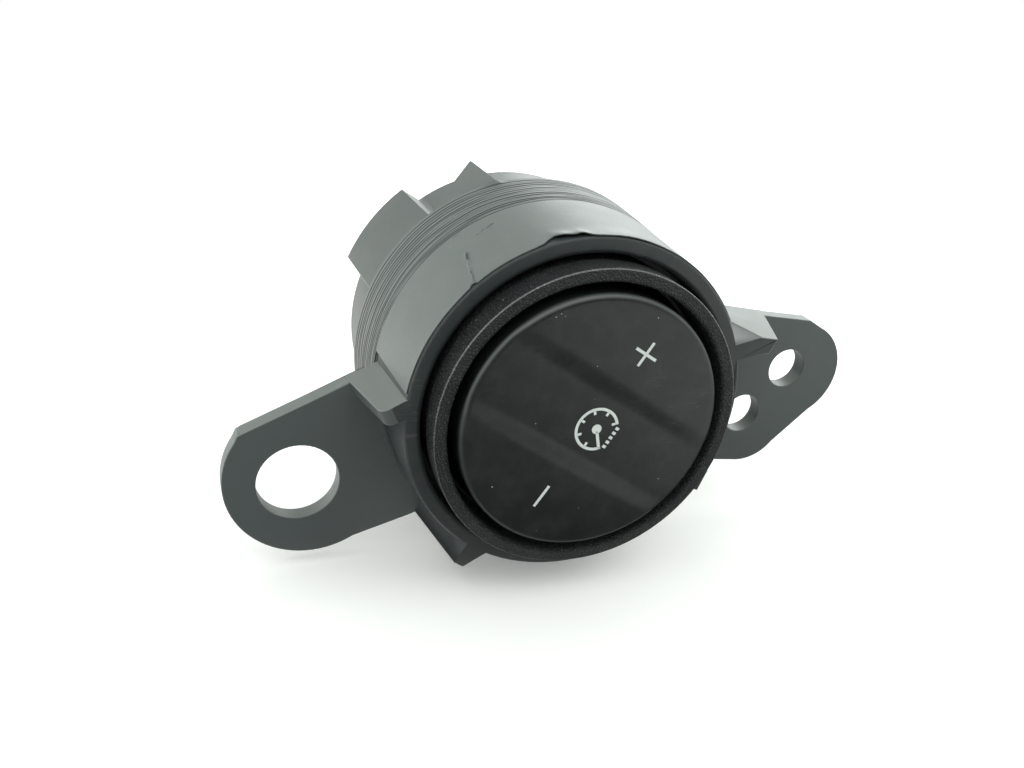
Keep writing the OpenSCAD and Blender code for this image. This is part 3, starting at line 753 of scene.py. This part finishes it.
def round_patch(x, z, radius):
    """A flat round dot in the face's plane, with a round of points inside it."""
    deselect()
    bpy.ops.mesh.primitive_circle_add(vertices=32, radius=radius * MM, fill_type="NGON",
                                      location=(x * MM, 0, z * MM), rotation=(math.radians(90), 0, 0))
    patch = bpy.context.object
    bpy.ops.object.transform_apply()
    with editing():
        bpy.ops.mesh.inset(thickness=radius * 0.5 * MM)
    return patch


def arc_patch(x, z, inner, outer, start, end):
    """A flat curved stroke round (x, z), from X towards Z."""
    line = [Vector((x, 0, z)) + Vector(on_circle(r, start)) for r in (inner, (inner + outer) / 2, outer)]
    patch = draw_line("arc", line)
    with editing():
        bpy.ops.mesh.spin(steps=72, angle=math.radians(end - start),
                          center=(x * MM, 0, z * MM), axis=(0, 1, 0))
    return patch


def lay_sign(name, patches):
    """Joins flat strokes, lays them on the face and gives them depth."""
    deselect()
    for patch in patches:
        patch.select_set(True)
    bpy.context.view_layer.objects.active = patches[0]
    if len(patches) > 1:
        bpy.ops.object.join()
    sign = bpy.context.object
    sign.name = sign.data.name = name
    push_points(sign, lambda x, y, z: (x, CAP_FRONT + face_depth(x, z) - SIGN_PROUD, z))
    inwards = (0, (SIGN_PROUD + SIGN_DEPTH) * MM, 0)
    with editing():
        bpy.ops.mesh.extrude_region_move(TRANSFORM_OT_translate={"value": inwards})
        bpy.ops.mesh.select_all(action="SELECT")
        bpy.ops.mesh.normals_make_consistent()
    complete(sign, "rocker", "white_moulding", material="sign_white", smooth=30)


SIGN_X, PLUS_Z, MINUS_Z = -0.18, 10.25, -10.18
PLUS_ARM, MINUS_ARM = 3.2, 3.05
lay_sign("sign_plus", [flat_patch(SIGN_X, PLUS_Z, PLUS_ARM, STROKE, 14),
                       flat_patch(SIGN_X, PLUS_Z, STROKE, PLUS_ARM, 14)])
lay_sign("sign_minus", [flat_patch(SIGN_X, MINUS_Z, STROKE, MINUS_ARM, 14)])

# %% [markdown]
# The gauge symbol is a dial: an open circle with short marks inside it, a dot
# and a needle that joins the circle's end, and a row of five small squares
# that stands for the light. It is the usual sign for instrument lighting.

# %% Draw the gauge symbol
HUB_X, HUB_Z, HUB_R, DIAL_R = 0.88, -0.15, 0.61, 2.58
DIAL_IN, DIAL_OUT = DIAL_R - STROKE / 2, DIAL_R + STROKE / 2
TICK_WIDTH, TICK_IN, TICK_OUT = 0.31, 1.92, 2.50
NEEDLE_WIDTH, NEEDLE_IN, NEEDLE_AT = 0.38, 0.3, 315.0
SQUARE_X, SQUARE_Z, SQUARE_PITCH, SQUARE_SIZE = 3.21, -0.19, 0.65, (0.50, 0.37)


def dial_stroke(angle, r0, r1, width, cuts):
    """A straight stroke that points away from the hub, from one radius to another."""
    x, y, z = on_circle((r0 + r1) / 2, angle)
    return flat_patch(HUB_X + x, HUB_Z + z, r1 - r0, width, cuts, turn=angle)


dial_from = 45.0 - math.degrees(TICK_WIDTH / 2 / DIAL_R)
dial_to = NEEDLE_AT + math.degrees(NEEDLE_WIDTH / 2 / DIAL_R)
symbol = [round_patch(HUB_X, HUB_Z, HUB_R),
          arc_patch(HUB_X, HUB_Z, DIAL_IN, DIAL_OUT, dial_from, dial_to)]
symbol += [dial_stroke(45.0 * i, TICK_IN, TICK_OUT, TICK_WIDTH, 3) for i in range(1, 7)]
symbol += [dial_stroke(NEEDLE_AT, NEEDLE_IN, DIAL_OUT, NEEDLE_WIDTH, 10)]
symbol += [flat_patch(SQUARE_X, SQUARE_Z + SQUARE_PITCH * i, *SQUARE_SIZE, 2) for i in range(-2, 3)]
lay_sign("sign_gauge", symbol)

# %% [markdown]
# ## Dust
# A few flakes of dust lie on the face and on the ring's side. As a speckled
# texture they would all be alike and flat. Each is a tiny pebble instead, a
# flattened sphere, and the ones on the button ride with it.

# %% Scatter the flakes
plastic("dust_flake", (176, 180, 176), (206, 209, 204), 0.9, specks=0.0, haze=0.0, scratches=0.0)


def add_flakes(name, body, flakes):
    """Flakes are (x, y, z, radius, direction away from the surface)."""
    deselect()
    made = []
    for i, (x, y, z, radius, away) in enumerate(flakes):
        bpy.ops.mesh.primitive_ico_sphere_add(subdivisions=2, radius=radius * MM,
                                              location=(x * MM, y * MM, z * MM))
        flake = bpy.context.object
        flake.scale = (1.0, 0.5 + 0.3 * (i % 2), 0.4)
        flake.rotation_euler = Vector(away).to_track_quat("Z", "Y").to_euler()
        bpy.ops.object.transform_apply()
        made.append(flake)
    for flake in made:
        flake.select_set(True)
    bpy.ops.object.join()
    dusty = bpy.context.object
    dusty.name = dusty.data.name = name
    complete(dusty, body, "white_moulding", material="dust_flake", smooth=60)


# (x, z, radius) on the face, and (angle, y, radius) on the ring's side
BUTTON_DUST = [(-6.4, -3.1, 0.07), (-6.4, -11.9, 0.08), (12.6, -1.6, 0.07), (-1.7, 14.4, 0.07),
               (-12.2, 8.9, 0.08), (-12.5, 8.3, 0.06), (-11.6, 8.9, 0.05), (-4.6, 6.2, 0.05),
               (5.2, -9.4, 0.05)]
RING_DUST = [(159.7, -1.4, 0.08), (170.8, -0.7, 0.06), (150.0, -2.2, 0.05), (208.0, -1.0, 0.05)]
add_flakes("dust_on_button", "rocker", [
    (x, CAP_FRONT + face_depth(x, z) - 0.01, z, radius, (0, -1, 0)) for x, z, radius in BUTTON_DUST])
add_flakes("dust_on_ring", "case", [
    (*on_circle(RING_OUT, a, y), radius, on_circle(1, a)) for a, y, radius in RING_DUST])

# %% [markdown]
# ## The wound band
# Over the joint of the two mouldings the tape has been wound many times. Each
# turn ends a little further back, so the band is a stair of very fine, wavy
# steps. The steps could be a bump, but their shadows are what the eye reads, so
# they are in the mesh: a finely cut ring is spun, and every point is moved by
# the steps that lie in front of it. Near each step a value of painted shade is stored, and a painted
# highlight just behind it.

# %% Spin the band and wind its turns
BACK_R, BAND_FRONT, BAND_BACK = 22.0, 12.6, 21.3
BAND_IN, FILM_TOP = BACK_R + 0.03, 0.16
TURNS, BAND_ROWS, STEPS_A_DEGREE = 15, 150, 1.5
WAVE, RIPPLE, DRIFT = 0.26, 0.13, 0.30      # how far a turn's edge wanders
STEP_HEIGHT, STEP_LENGTH = 0.048, 0.10
# the groove at each step, and the strength of the painted highlight on the crest behind it
GROOVE_WIDTH, GROOVE_DEPTH, CREST_HIGHLIGHT = 0.125, 0.07, 0.45
LUG_AT, LUG_BULGE = 135.7, 0.42      # the tape is stretched over the foot of the ramp lug
band_length = BAND_BACK - BAND_FRONT
band_profile = (
    [(BAND_IN, BAND_BACK), (BAND_IN, BAND_FRONT)]
    + [(BACK_R + FILM_TOP, BAND_FRONT + band_length * i / BAND_ROWS) for i in range(BAND_ROWS + 1)]
    + [(BAND_IN, BAND_BACK)])
band = turn_profile("tape_band_wound", band_profile, round(360 * STEPS_A_DEGREE))


def turn_edge(i, a):
    """Where turn i ends, at angle a: (y, height of the step, how dark its painted shade is)."""
    share = i / (TURNS - 1)
    y = BAND_FRONT + 0.05 + (band_length - 0.9) * share ** 1.18
    y += WAVE * wander(a, i * 1.7, 1.3) + RIPPLE * wander(a, i * 2.9 + 40, 5.5)
    y += DRIFT * wander(a, 91.0, 0.8) * (1 - share)
    height = STEP_HEIGHT * (0.75 + 0.5 * wander(a, i + 200, 2.0))
    # the painted shade in the lines is deeper at the left
    at_left = smoothstep((a % 360 - 140) / 40)
    dark = smoothstep(0.78 + 0.25 * at_left + 1.7 * wander(a, i * 3.3 + 70, 2.4)) * (1 - 0.3 * share)
    return y, height, dark


edge_table = {}


def band_point(x, y, z):
    """The band's radius, its painted shade and its painted highlight, at a point."""
    a = round(math.degrees(math.atan2(z, x)) * STEPS_A_DEGREE) / STEPS_A_DEGREE
    if a not in edge_table:
        edge_table[a] = [turn_edge(i, a) for i in range(TURNS)]
    radius, painted_shade, rub_and_highlight = BACK_R + FILM_TOP, 0.0, 0.0
    for edge, height, dark in edge_table[a]:
        radius += height * smoothstep((y - edge) / STEP_LENGTH + 0.5)
        near = (y - edge + 0.03) / GROOVE_WIDTH
        if abs(near) < 6:
            # painted shade in the groove, and a painted highlight on the crest behind it
            line = dark * hill(near, 0, 1)
            painted_shade = max(painted_shade, line)
            radius -= GROOVE_DEPTH * line
            rub_and_highlight = max(rub_and_highlight, CREST_HIGHLIGHT * dark * hill(near, 2.2, 1))
    radius += 0.03 * wander(a, 5.0, 3.0) * smoothstep(y - BAND_FRONT)
    bulge = hill(a, LUG_AT, 1.6 if a < LUG_AT else 4.5)
    radius += LUG_BULGE * bulge * smoothstep((y - BAND_BACK + 1.3) / 1.3)
    return radius, painted_shade, rub_and_highlight


def wind(x, y, z):
    """A point of the plain band, wound: (x, y, z, painted shade, painted highlight)."""
    r = math.hypot(x, z)
    radius, painted_shade, rub_and_highlight = band_point(x, y, z) if r > BACK_R + 0.1 else (r, 0.0, 0.0)
    return x * radius / r, y, z * radius / r, painted_shade, rub_and_highlight


def lay_tape(piece, rule):
    """Moves every vertex by a rule that also gives the painted shade and highlight values to store on it.
    """
    laid = [rule(*(vertex.co / MM)) for vertex in piece.data.vertices]
    for vertex, point in zip(piece.data.vertices, laid):
        vertex.co = Vector(point[:3]) * MM
    for name, place in (("painted_shade", 3), ("rub_and_highlight", 4)):
        values = piece.data.attributes.new(name, "FLOAT", "POINT")
        values.data.foreach_set("value", [point[place] for point in laid])
    piece.data.update()


lay_tape(band, wind)
complete(band, "case", "tape_band", replaced=("tape_band",), smooth=60)

# %% [markdown]
# ## The smooth film
# One strip of wider tape lies over the top of the barrel. It has a crease that
# runs from the middle to the front, a small tear, a front edge that has lifted
# in a wave, and a pair of scuffs. Painted shade lies along one side of each
# crease and groove, and a painted highlight lies along the front edge towards the left.
# It is a sheet: a line along the drum is spun through its arc, the points are
# pushed into its wrinkles, and a Solidify modifier gives it the thickness of tape.

# %% Spin the film, crease it and lift its front edge
BARREL_R, BARREL_DRAFT, BARREL_LEN = 21.3, 0.7, 12.4
FILM_FROM, FILM_TO, FILM_T = 61.5, 202.5, 0.12
FILM_BACK, FILM_ROWS = BARREL_LEN + 0.15, 84
LIFT_AT, LIFT_HEIGHT, SWELL_AT, SWELL_HEIGHT = 130.5, 0.34, 112, 0.10
# a painted highlight along the film's front edge, and how far behind the edge it lies
EDGE_HIGHLIGHT, EDGE_HIGHLIGHT_AT = 0.55, 0.066
# (angle, y) of the cut and torn front edge
FRONT_EDGE = [(61, 0.42), (80, 0.36), (100, 0.30), (112, 0.26), (118, 0.22), (123, 0.20), (125, 0.42),
              (127.5, 0.62), (129.5, 0.55), (132, 0.95), (134, 1.02), (136, 1.40), (138, 1.05),
              (140, 0.52), (143, 0.34), (150, 0.30), (157, 0.33), (161, 0.30), (162.3, 0.24),
              (163.4, 0.62), (164.4, 0.70), (165.4, 0.40), (170, 0.32), (185, 0.36), (203, 0.40)]


def on_table(table, a):
    """Reads a value off a table of (angle, value) by straight lines between its rows."""
    for (a0, v0), (a1, v1) in zip(table, table[1:]):
        if a <= a1:
            return v0 + (v1 - v0) * (a - a0) / (a1 - a0)
    return table[-1][1]


def near_line(a, y, a0, y0, a1, y1, width):
    """How near a point is to a line drawn on the drum, from 0 to 1, and how far along."""
    k = BARREL_R * math.pi / 180
    px, py = (a - a0) * k, y - y0
    dx, dy = (a1 - a0) * k, y1 - y0
    along = (px * dx + py * dy) / (dx * dx + dy * dy)
    if along < -0.1 or along > 1.1:
        return 0.0, along
    s = min(max(along, 0.0), 1.0)
    off = math.hypot(px - s * dx, py - s * dy)
    return hill(off, 0, width), s


# (from angle, y, to angle, y, width, height, darkness of the painted shade)
CREASES = [(163.2, 0.6, 161.9, 2.9, 0.10, 0.10, 0.75), (161.9, 2.9, 160.2, 5.6, 0.13, 0.16, 0.25),
           (160.2, 5.6, 159.3, 7.0, 0.22, 0.22, 1.0), (164.6, 0.9, 163.3, 0.9, 0.12, 0.08, 0.5),
           (153.2, 9.3, 150.6, 9.75, 0.12, -0.06, 1.0), (149.6, 9.65, 147.2, 10.1, 0.14, -0.07, 1.0),
           (148.6, 9.2, 147.6, 9.3, 0.08, 0.05, 0.3), (158.9, 11.9, 156.4, 12.3, 0.08, -0.05, 0.6)]
# (from angle, y, to angle, y, width, brightness)
SCUFFS = [(152.6, 9.55, 151.2, 9.75, 0.07, 0.9), (162.6, 10.6, 160.4, 11.1, 0.05, 0.5),
          (161.9, 11.2, 161.0, 10.5, 0.05, 0.45), (161.2, 3.2, 160.0, 5.5, 0.05, 0.5)]
film = turn_profile(
    "tape_film_creased", [(BARREL_R + 0.1, FILM_BACK * i / FILM_ROWS) for i in range(FILM_ROWS + 1)],
    430, FILM_FROM, FILM_TO)


def lay_film(x, y, z):
    """A point of the plain film, creased and lifted: (x, y, z, painted shade, scuffs and painted
    highlight).
    """
    a = math.degrees(math.atan2(z, x)) % 360
    front = on_table(FRONT_EDGE, a) + 0.025 * wander(a, 12.0, 30.0)
    y = front + (FILM_BACK - front) * y / FILM_BACK
    radius = BARREL_R + BARREL_DRAFT * y / BARREL_LEN + FILM_TOP
    radius += 0.008 * noise.noise(Vector((x * 0.25, y * 0.3, z * 0.25))) * smoothstep(BARREL_LEN - y)
    lifted = hill(a, LIFT_AT, 6.0) * hill(y, front, 1.3)
    radius += lifted * (LIFT_HEIGHT + 0.10 * math.sin(a * 0.9))
    radius += SWELL_HEIGHT * hill(a, SWELL_AT, 9.0) * hill(y, 1.0, 1.5)
    painted_shade, rub_and_highlight = 0.0, 0.0
    bent_a = a + 0.12 * math.sin(y * 4.0)
    for a0, y0, a1, y1, width, height, dark in CREASES:
        near, along = near_line(bent_a, y, a0, y0, a1, y1, width)
        radius += height * near * (0.6 + 0.4 * math.sin(along * 3.1))
        # painted shade along one side of the crease
        shade, along = near_line(bent_a + 0.22, y, a0, y0, a1, y1, width * 0.7)
        painted_shade = max(painted_shade, dark * shade)
    for a0, y0, a1, y1, width, shine in SCUFFS:
        near, along = near_line(a, y, a0, y0, a1, y1, width)
        rub_and_highlight = max(rub_and_highlight, shine * near)
    # a painted highlight along the front edge, towards the left
    rub_and_highlight = max(rub_and_highlight, EDGE_HIGHLIGHT * hill(y, front + EDGE_HIGHLIGHT_AT, 0.11) * smoothstep((a - 160) / 20))
    return *on_circle(radius, a, y), painted_shade, rub_and_highlight


lay_tape(film, lay_film)
only(film)
with editing():
    bpy.ops.mesh.normals_make_consistent()
# a sheet has no inside, so its normals are turned to point away from the axis
middle = film.data.polygons[len(film.data.polygons) // 2]
if middle.normal.dot(Vector((middle.center.x, 0, middle.center.z))) <= 0:
    film.data.flip_normals()
wall = film.modifiers.new("tape thickness", "SOLIDIFY")
wall.thickness = FILM_T * MM
wall.offset = -1.0
apply_all(film)
complete(film, "case", "tape_film", replaced=("tape_film",), smooth=60)

# %% [markdown]
# ## The pieces inside
# The carrier, plungers, springs, switches, board and lamp are in their right
# place in the CAD frame, and little of them shows. They keep their solids, and
# each gets the finish of its own material slot.

# %% Give the CAD nodes their finishes
node_slots = {
    "bearing_frame": "inner_black", "rocker_lens": "clear_plastic", "rocker_carrier": "white_moulding",
    "plunger_plus": "inner_black", "plunger_minus": "inner_black",
    "spring_plus": "spring_steel", "spring_minus": "spring_steel",
    "stem_plus": "stem_black", "stem_minus": "stem_black",
    "switch_plus": "switch_body", "switch_minus": "switch_body",
    "light_tube": "white_moulding", "lamp": "lamp_white", "circuit_board": "board_green",
    "driver_chip": "chip_black", "capacitor": "can_aluminium", "resistor": "chip_black",
    "connector_header": "stem_black", "contact_pins": "tinned",
    "board_screw_left": "screw_steel", "board_screw_right": "screw_steel"}
for node, slot in node_slots.items():
    for material_slot in nodes[node].material_slots:
        material_slot.material = finish[slot]
    if not nodes[node].material_slots:
        nodes[node].data.materials.append(finish[slot])
print("dressed", len(node_slots), "CAD nodes")

# %% [markdown]
# ## Floor and light
# The switch lies on a plain white table in soft daylight. A white world would
# light it flatly from all round. Here the world is dim overhead, glows at the
# sides and behind, and glows most at the left. A wide ceiling lamp gives the
# drum its pale top, a lamp behind at the right lights its edge, and a weak one
# in front fills the shadows. The table shows white to the camera and keeps the
# soft shadow of the switch. Only glossy rays meet a shade on it in front of the
# switch, because a plain white table would hide the button's dark valley.

# %% Lay the floor
def ramp(tree, value, zero_at, one_at):
    """Rises from 0 to 1 between two places, given in millimetres, and no further."""
    span = one_at - zero_at
    return scaled(tree, value, 1 / (span * MM), -zero_at / span, clamp=True)


def to_camera(tree, rays):
    """1 for what the camera sees, straight or through the clear plate."""
    return arithmetic(tree, "MAXIMUM", rays.outputs["Is Camera Ray"], rays.outputs["Is Transmission Ray"])


PAPER, BLACK, WHITE = (0.88, 0.88, 0.85, 1), (0, 0, 0, 1), (1, 1, 1, 1)
EARS_BACK = 14 * MM      # how much further back the ears stand over the table
SHADE_LEFT, SHADE_FOOT = 0.78, 0.95
GLOW_NEAR, GLOW_FAR = 0.20, 0.5
MIRROR_ALL, MIRROR_LEFT = 0.22, 0.7
# places on the table in mm: where each part of it begins, and where it is full
EARS, FRONT, LEFT_PART, FOOT = (20, 24), (0, -12), (43.2, 7.2), (-49.3, -15.3)
FAR_PART, LEFT_GLOW = (66, 176), (0, -40)
lowest = min(cad_box[0][2], cad_box[1][2])
deselect()
bpy.ops.mesh.primitive_circle_add(vertices=96, radius=0.6, fill_type="NGON", location=(0, 0, lowest))
floor = bpy.context.object
floor.name = "table_top"
bpy.ops.object.transform_apply()
paper, table, paper_shader, paper_place = start_material("white_table")
fill(paper_shader, Roughness=0.9, Specular_IOR_Level=0.1, Emission_Color=WHITE)
seen = add_node(table, "LightPath")
spot = add_node(table, "SeparateXYZ")
join(table, paper_place, spot.inputs[0])
table_x, table_y = spot.outputs["X"], spot.outputs["Y"]

# %% Shade the table for the switch's own dark reflections
under_ears = ramp(table, arithmetic(table, "ABSOLUTE", table_x), *EARS)
ahead = arithmetic(table, "SUBTRACT", table_y, product(table, under_ears, EARS_BACK))
shade = arithmetic(table, "MAXIMUM",
                   product(table, ramp(table, table_x, *LEFT_PART), SHADE_LEFT),
                   product(table, ramp(table, ahead, *FOOT), SHADE_FOOT))
shade = product(table, shade, ramp(table, ahead, *FRONT), seen.outputs["Is Glossy Ray"])
join(table, mix_colour(table, shade, PAPER, BLACK), paper_shader.inputs["Base Color"])

# %% Let the table glow a little
# the camera sees the far table pure white, and the soft shadow stays near the switch
away = add_node(table, "VectorMath", {"operation": "LENGTH"})
join(table, paper_place, away.inputs[0])
shown = scaled(table, ramp(table, away.outputs["Value"], *FAR_PART), GLOW_FAR, GLOW_NEAR)
shown = product(table, shown, to_camera(table, seen))
# reflections see it glow more at the left, where it isn't shaded
mirrored = scaled(table, ramp(table, table_x, *LEFT_GLOW), MIRROR_LEFT, MIRROR_ALL)
unshaded = arithmetic(table, "SUBTRACT", 1.0, shade)
mirrored = product(table, mirrored, seen.outputs["Is Glossy Ray"], unshaded)
join(table, arithmetic(table, "ADD", shown, mirrored), paper_shader.inputs["Emission Strength"])
floor.data.materials.append(paper)
print("floor at", round(lowest / MM, 2), "mm")

# %% Light the scene
AROUND, OVERHEAD, LEFT = 1.25, 0.03, 0.6      # the world's glow
DAYLIGHT = (0.96, 1.0, 0.985)
MIDDLE = Vector((0, 0.012, 0))
# name, place and size in metres, and power
LAMPS = [("ceiling", (0, -0.15, 0.70), (1.2, 1.2), 5.4),
         ("window_behind", (0.55, 0.66, 0.35), (0.7, 0.5), 4.4),
         ("fill_front", (0.15, -0.5, 0.8), (0.4, 0.4), 0.7)]
world = bpy.data.worlds.new("soft_room")
bpy.context.scene.world = world
world.use_nodes = True
sky = world.node_tree
backdrop = sky.nodes["Background"]
bearing = add_node(sky, "SeparateXYZ")
join(sky, add_node(sky, "TexCoord").outputs["Generated"], bearing.inputs[0])
behind = arithmetic(sky, "MAXIMUM", bearing.outputs["Y"], 0.0)
leftward = arithmetic(sky, "MAXIMUM", product(sky, bearing.outputs["X"], -1.0), 0.0)
glow = arithmetic(sky, "ADD", arithmetic(sky, "POWER", bearing.outputs["X"], 2.0),
                  arithmetic(sky, "POWER", behind, 2.0))
glow = scaled(sky, glow, AROUND, OVERHEAD)
glow = scaled(sky, leftward, LEFT, glow)
plain = to_camera(sky, add_node(sky, "LightPath"))
strength = add_node(sky, "Mix", {"data_type": "FLOAT"})
for value, socket in ((plain, 0), (glow, 2), (1.0, 3)):
    feed(sky, value, strength.inputs[socket])
join(sky, strength.outputs[0], backdrop.inputs["Strength"])
join(sky, mix_colour(sky, plain, DAYLIGHT + (1,), WHITE), backdrop.inputs["Color"])
deselect()
for name, at, size, power in LAMPS:
    bpy.ops.object.light_add(type="AREA", location=at)
    lamp = bpy.context.object
    lamp.name = name
    lamp.data.shape = "RECTANGLE"
    lamp.data.size, lamp.data.size_y = size
    lamp.data.energy = power
    lamp.data.color = DAYLIGHT
    lamp.rotation_euler = (Vector(at) - MIDDLE).to_track_quat("Z", "Y").to_euler()
    print("lamp:", name, power, "W")
bpy.context.scene.view_settings.view_transform = "Standard"
